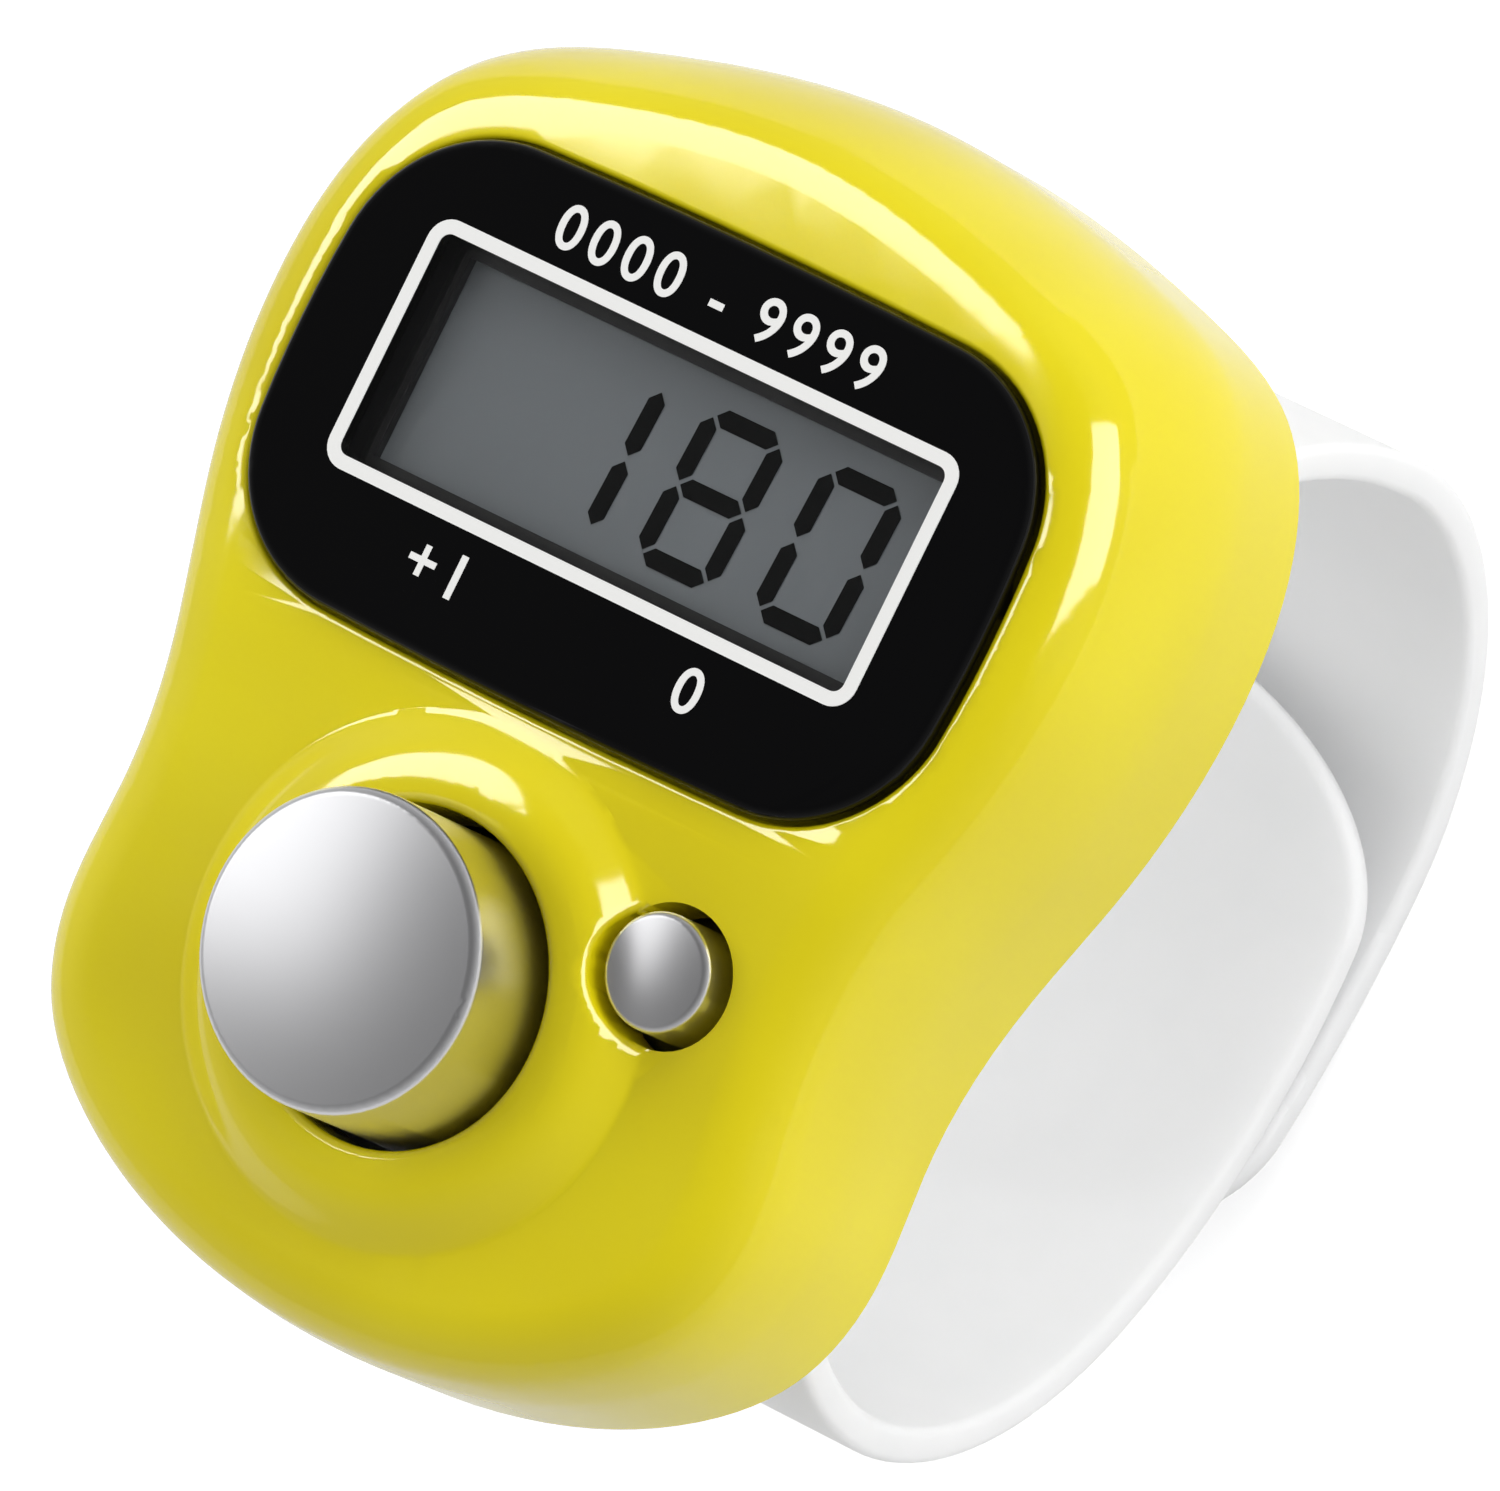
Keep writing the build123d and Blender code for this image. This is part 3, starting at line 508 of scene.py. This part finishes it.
def smooth_shading(piece):
    """Smooths the picked piece up to its sharp edges and keeps its flat faces flat."""
    bpy.ops.object.shade_smooth_by_angle(angle=smooth_angle)
    piece.modifiers.new("flat_faces_stay_flat", "WEIGHTED_NORMAL").keep_sharp = True
    bpy.ops.object.modifier_apply(modifier="flat_faces_stay_flat")


def welded_copy(node, name, material, body):
    """A welded, smooth-shaded copy of a CAD node that stands for it."""
    piece = bpy.data.objects.new(name, nodes[node].data.copy())
    scene.collection.objects.link(piece)
    pick(piece)
    bpy.ops.object.mode_set(mode="EDIT")
    bpy.ops.mesh.select_all(action="SELECT")
    bpy.ops.mesh.remove_doubles(threshold=weld_distance)
    bpy.ops.object.mode_set(mode="OBJECT")
    smooth_shading(piece)
    piece.data.materials.clear()
    piece.data.materials.append(material)
    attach(piece, body)
    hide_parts(node)
    print(name, "faces", len(piece.data.polygons))
    return piece


# %% Housing, keys and band
screw_steel = nodes["cover_screws"].data.materials[0]
shell = welded_copy("front_shell", "housing_shell", yellow_abs, "housing")
welded_copy("back_cover", "housing_cover", band_white, "housing")
welded_copy("display_bezel", "black_bezel", bezel_black, "housing")
count_cap = welded_copy("count_button", "count_cap", chrome, "count_key")
reset_cap = welded_copy("reset_button", "reset_cap", chrome, "reset_key")
welded_copy("upper_band", "upper_prong", band_white, "housing")
welded_copy("lower_band", "lower_prong", band_white, "housing")
welded_copy("cover_screws", "cross_head_screws", screw_steel, "housing")
glossy_yellow.objects.link(shell)
for cap in (count_cap, reset_cap):
    glossy_keys.objects.link(cap)

# %% [markdown]
# ## Smooth crowns for the keys
# The top of each key is a shallow crown cut from a ball, but its long triangles mirror the room in steps.
# A finer mesh would soften the steps. They go altogether if the middle of the ball is found from the
# crown's corners, by least squares, and every corner gets the normal that the ball has there.

# %% Smooth crowns for the keys
crown_depth = 2 * mm
crown_spread = math.radians(11)
facing_up = 0.9


def true_crown(cap):
    """Shades a key's top by the normals of the ball that it was cut from."""
    mesh = cap.data
    lowest = max(corner.co.z for corner in mesh.vertices) - crown_depth
    upward = [face for face in mesh.polygons if face.normal.z > facing_up and face.center.z > lowest]
    axis = sum((face.area * face.normal for face in upward), Vector()).normalized()
    on_crown = [face for face in upward if face.normal.angle(axis) < crown_spread]
    crown = {corner for face in on_crown for corner in face.vertices}
    spots = np.array([mesh.vertices[corner].co for corner in crown], dtype=float)
    system = np.column_stack((2 * spots, np.ones(len(spots))))
    solved = np.linalg.lstsq(system, (spots**2).sum(axis=1), rcond=None)[0]
    ball = Vector(solved[:3])
    normals = [Vector(corner.vector) for corner in mesh.corner_normals]
    for loop in mesh.loops:
        if loop.vertex_index in crown:
            normals[loop.index] = (mesh.vertices[loop.vertex_index].co - ball).normalized()
    mesh.normals_split_custom_set(normals)
    radius = (mesh.vertices[min(crown)].co - ball).length
    print(cap.name, "crown corners", len(crown), "ball radius mm", round(radius / mm, 2))


true_crown(count_cap)
true_crown(reset_cap)

# %% [markdown]
# ## The display window
# The real window is one acrylic plate, printed black round the edge and clear in the middle. Two plates
# could be modelled to fit each other, but here the welded copy of the one plate is cut twice with the
# same rounded block: what lies outside the block is the black border, what lies inside is the clear pane.
# The cut runs under the white printed line, which hides it.

# %% Rounded plate
corner_steps = 8


def rounded_plate(name, half, corner, bottom, height):
    """A plate round the display's middle: a plane whose corners are bevelled round, then extruded."""
    bpy.ops.object.select_all(action="DESELECT")
    bpy.ops.mesh.primitive_plane_add(size=2, location=(0, display_y, bottom))
    plate = bpy.context.object
    plate.name = name
    plate.scale = (half[0], half[1], 1)
    bpy.ops.object.transform_apply(location=True, rotation=True, scale=True)
    bpy.ops.object.mode_set(mode="EDIT")
    bpy.ops.mesh.select_all(action="SELECT")
    bpy.ops.mesh.bevel(offset=corner, segments=corner_steps, affect="VERTICES")
    if height:
        bpy.ops.mesh.extrude_region_move(TRANSFORM_OT_translate={"value": (0, 0, height)})
        bpy.ops.mesh.select_all(action="SELECT")
        bpy.ops.mesh.normals_make_consistent(inside=False)
    bpy.ops.object.mode_set(mode="OBJECT")
    print(name, "mm", [round(side / mm, 2) for side in plate.dimensions])
    return plate


# %% Border and pane
pane_half = (9.77 * mm, 3.9 * mm)
pane_corner = 0.6 * mm
block_margin = 1 * mm
block_height = 4 * mm


def cut_with(piece, cutter, operation):
    """Applies a boolean between a piece and a cutting block."""
    pick(piece)
    boolean = piece.modifiers.new("window_cut", "BOOLEAN")
    boolean.operation = operation
    boolean.solver = "EXACT"
    boolean.object = cutter
    bpy.ops.object.modifier_apply(modifier="window_cut")
    smooth_shading(piece)
    print(piece.name, "faces after the cut", len(piece.data.polygons))


block = rounded_plate("cutting_block", pane_half, pane_corner, window_low.z - block_margin, block_height)
window_border = welded_copy("display_window", "window_border", black_acrylic, "housing")
window_pane = welded_copy("display_window", "window_pane", clear_acrylic, "housing")
cut_with(window_border, block, "DIFFERENCE")
cut_with(window_pane, block, "INTERSECT")
bpy.data.objects.remove(block)

# %% [markdown]
# ## White print
# A screen-printed line frames the clear pane. It could be drawn by a material, but a thin mesh stays
# sharp. It is a rounded plate whose face is inset by the width of the line; the middle is deleted, and
# the ring is given the thickness of a layer of ink.

# %% Printed line
line_width = 0.45 * mm
line_corner = 0.8 * mm
ink_height = 0.03 * mm
line_half = [half + line_width / 2 for half in pane_half]
white_line = rounded_plate("printed_line", line_half, line_corner, window_high.z, 0)
bpy.context.view_layer.objects.active = white_line
bpy.ops.object.mode_set(mode="EDIT")
bpy.ops.mesh.select_all(action="SELECT")
bpy.ops.mesh.inset(thickness=line_width)
bpy.ops.mesh.delete(type="FACE")
bpy.ops.mesh.select_all(action="SELECT")
bpy.ops.mesh.extrude_region_move(TRANSFORM_OT_translate={"value": (0, 0, ink_height)})
bpy.ops.mesh.select_all(action="SELECT")
bpy.ops.mesh.normals_make_consistent(inside=False)
bpy.ops.object.mode_set(mode="OBJECT")
white_line.data.materials.append(white_ink)
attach(white_line, "housing")
print("printed line faces", len(white_line.data.polygons))

# %% [markdown]
# ## Plain numbers
# The border carries a few plain numbers in the same ink: the range of the counter over the display, and
# what each key does under it. They could be traced by hand, but a text object has true letter shapes, and
# it becomes a thin mesh before it is placed for good.

# %% Plain numbers
number_size = 2.0 * mm
stroke_swell = 0.012


def printed_number(name, body, x, y, spacing):
    """A line of plain numbers on the window, turned from text to a thin mesh."""
    bpy.ops.object.select_all(action="DESELECT")
    bpy.ops.object.text_add(location=(x, y, window_high.z))
    number = bpy.context.object
    number.name = name
    number.data.body = body
    number.data.align_x = "CENTER"
    number.data.align_y = "CENTER"
    number.data.size = number_size
    number.data.space_character = spacing
    number.data.offset = stroke_swell * number_size
    number.data.extrude = ink_height / 2
    bpy.ops.object.convert(target="MESH")
    number = bpy.context.object
    bpy.ops.object.transform_apply(location=True, rotation=True, scale=True)
    number.data.materials.clear()
    number.data.materials.append(white_ink)
    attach(number, "housing")
    print(name, "mm", [round(side / mm, 2) for side in number.dimensions])


above_display = display_y + 5.3 * mm
below_display = display_y - 5.6 * mm
printed_number("range_numbers", "0000 - 9999", 0, above_display, spacing=1.25)
printed_number("count_number", "+1", -4.6 * mm, below_display, spacing=1.2)
printed_number("reset_number", "0", 4.9 * mm, below_display, spacing=1.2)

# %% [markdown]
# ## Liquid-crystal digits
# The display shows a number in seven-segment digits, whose segments are six-sided bars with pointed ends.
# Each could be drawn by its corners. Here a six-sided disc is pulled out to a bar, once for the level
# segments and once for the upright ones, and the others are copies of its mesh, turned and moved to their
# places. All of them lie just above the polariser and lean a little to the right.

# %% One segment
digit_height = 5.25 * mm
digit_width = 3.1 * mm
segment_width = 0.6 * mm
segment_height = 0.02 * mm
segment_gap = 0.1 * mm
on_axis = 0.1
across = (digit_width - segment_width) / 2
up = (digit_height - segment_width) / 2


def segment_bar(length):
    """One segment, a flat bar with two pointed ends, at the origin."""
    bpy.ops.object.select_all(action="DESELECT")
    point_to_side = (0, 0, math.radians(30))
    bpy.ops.mesh.primitive_circle_add(vertices=6, radius=1, fill_type="NGON", rotation=point_to_side)
    bar = bpy.context.object
    bpy.ops.object.transform_apply(location=True, rotation=True, scale=True)
    half = segment_width / 2
    for corner in bar.data.vertices:
        end = math.copysign(1, corner.co.x) if abs(corner.co.x) > on_axis else 0
        side = math.copysign(1, corner.co.y) if abs(corner.co.y) > on_axis else 0
        reach = length / 2 if side == 0 else length / 2 - half
        corner.co = (end * reach, side * half, 0)
    bpy.ops.object.mode_set(mode="EDIT")
    bpy.ops.mesh.select_all(action="SELECT")
    bpy.ops.mesh.extrude_region_move(TRANSFORM_OT_translate={"value": (0, 0, segment_height)})
    bpy.ops.mesh.select_all(action="SELECT")
    bpy.ops.mesh.normals_make_consistent(inside=False)
    bpy.ops.object.mode_set(mode="OBJECT")
    print("segment of", round(length / mm, 2), "mm")
    return bar


level_bar = segment_bar(2 * across - 2 * segment_gap)
upright_bar = segment_bar(up - 2 * segment_gap)

# %% Digits
film_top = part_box("display_polariser")[1].z
film_gap = 0.01 * mm
digit_y = display_y - 0.1 * mm
middle_digit_x = 1.92 * mm
digit_pitch = 4.45 * mm
lean = math.tan(math.radians(2.5))
slant = Matrix(((1, lean, 0, 0), (0, 1, 0, 0), (0, 0, 1, 0), (0, 0, 0, 1)))
segments = {
    "a": (0, up, level_bar),
    "b": (across, up / 2, upright_bar),
    "c": (across, -up / 2, upright_bar),
    "d": (0, -up, level_bar),
    "e": (-across, -up / 2, upright_bar),
    "f": (-across, up / 2, upright_bar),
    "g": (0, 0, level_bar),
}
bars = []
for order, lit in ((-1, "bc"), (0, "abcdefg"), (1, "abcdef")):
    digit_place = Vector((middle_digit_x + order * digit_pitch, digit_y, film_top + film_gap))
    in_display = Matrix.Translation(digit_place)
    for name in lit:
        x, y, pattern = segments[name]
        bar = bpy.data.objects.new("segment", pattern.data.copy())
        scene.collection.objects.link(bar)
        stand = math.radians(90) if pattern == upright_bar else 0
        in_digit = Matrix.Translation((x, y, 0)) @ Matrix.Rotation(stand, 4, "Z")
        bar.data.transform(in_display @ slant @ in_digit)
        bars.append(bar)
print("segments", len(bars))

# %% Digits joined
for pattern in (level_bar, upright_bar):
    bpy.data.objects.remove(pattern)
pick(bars[0])
for bar in bars:
    bar.select_set(True)
bpy.ops.object.join()
digits = bpy.context.object
digits.name = "display_digits"
digits.data.materials.append(crystal_black)
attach(digits, "housing")
print("digit faces", len(digits.data.polygons))

# %% [markdown]
# ## Silicone rubber
# The domes under the keys are moulded silicone, dull and milky, and thin enough to let some light
# through. A plain grey would look like stone, so a little scattering softens it, and a noise clouds the
# grey.

# %% Silicone rubber
# To the eye: a soft, slightly see-through grey.
rubber_cloud_size = 0.8 * mm
silicone, tree, sockets, place = new_finish(
    "milky_silicone_rubber", "#CFCFC8", roughness=0.55, subsurface_weight=0.2, subsurface_scale=0.5 * mm
)
cloud = add_node(
    tree, "ShaderNodeTexNoise", {"Vector": place, "Scale": 1 / rubber_cloud_size, "Detail": 2.0}
)
greys = ((0.0, "#C6C6BE"), (1.0, "#D8D8D2"))
milk = add_node(tree, "ShaderNodeValToRGB", {"Fac": cloud.outputs["Fac"]}, greys)
tree.links.new(milk.outputs["Color"], sockets["Base Color"])

# %% [markdown]
# ## Rubber domes
# Under each key a hollow silicone dome springs it back up. It could be spun from a profile, but a cone
# has the slanting wall already: its base is extruded out into the flange and down to the board, then
# inset and pushed up to hollow it. The dome is fixed to the housing.

# %% Dome shape
flange = 0.4 * mm
ledge = 0.6 * mm
wall = 0.45 * mm
top_wall = 0.3 * mm
edge_round = 0.08 * mm
round_steps = 64


def base_face(piece):
    """Selects the lowest face of a piece that is in edit mode, and nothing else."""
    bpy.ops.mesh.select_all(action="DESELECT")
    bpy.ops.object.mode_set(mode="OBJECT")
    lowest = min(piece.data.polygons, key=lambda face: (round(face.center.z, 7), -face.area))
    lowest.select = True
    bpy.ops.object.mode_set(mode="EDIT")


def dome_shape(name, low, high, top_radius, roof):
    """A hollow dome with a flange, in a box, whose hollow is as high as roof."""
    radius = (high.x - low.x) / 2
    shoulder = radius - ledge
    depth = high.z - low.z - flange
    foot = Vector(((low.x + high.x) / 2, (low.y + high.y) / 2, low.z))
    cone_middle = foot + Vector((0, 0, flange + depth / 2))
    bpy.ops.object.select_all(action="DESELECT")
    bpy.ops.mesh.primitive_cone_add(
        vertices=round_steps, radius1=shoulder, radius2=top_radius, depth=depth, location=cone_middle
    )
    dome = bpy.context.object
    dome.name = name
    bpy.ops.object.transform_apply(location=True, rotation=True, scale=True)
    bpy.ops.object.mode_set(mode="EDIT")
    bpy.ops.mesh.select_mode(type="FACE")
    base_face(dome)
    bpy.ops.mesh.extrude_region_move(TRANSFORM_OT_translate={"value": (0, 0, 0)})
    grow = radius / shoulder
    bpy.ops.transform.resize(value=(grow, grow, 1), center_override=foot)
    bpy.ops.mesh.extrude_region_move(TRANSFORM_OT_translate={"value": (0, 0, -flange)})
    bpy.ops.mesh.inset(thickness=ledge + wall)
    bpy.ops.mesh.extrude_region_move(TRANSFORM_OT_translate={"value": (0, 0, roof)})
    shrink = (top_radius - top_wall) / (shoulder - wall)
    bpy.ops.transform.resize(value=(shrink, shrink, 1), center_override=foot)
    bpy.ops.object.mode_set(mode="OBJECT")
    print(name, "radius mm", round(radius / mm, 2), "faces", len(dome.data.polygons))
    return dome, foot


def rubber_dome(node, top_radius, roof):
    """A silicone dome in the place of its CAD solid, fixed to the housing."""
    low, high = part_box(node)
    dome, foot = dome_shape(node + "_rubber", low, high, top_radius, roof)
    rim = dome.modifiers.new("moulded_edges", "BEVEL")
    rim.width = edge_round
    rim.segments = 2
    rim.limit_method = "ANGLE"
    bpy.ops.object.modifier_apply(modifier="moulded_edges")
    bpy.ops.object.shade_smooth_by_angle(angle=smooth_angle)
    dome.data.materials.append(silicone)
    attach(dome, "housing")
    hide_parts(node)
    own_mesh(dome)


rubber_dome("count_dome", top_radius=1.9 * mm, roof=1.3 * mm)
rubber_dome("reset_dome", top_radius=1.1 * mm, roof=0.9 * mm)
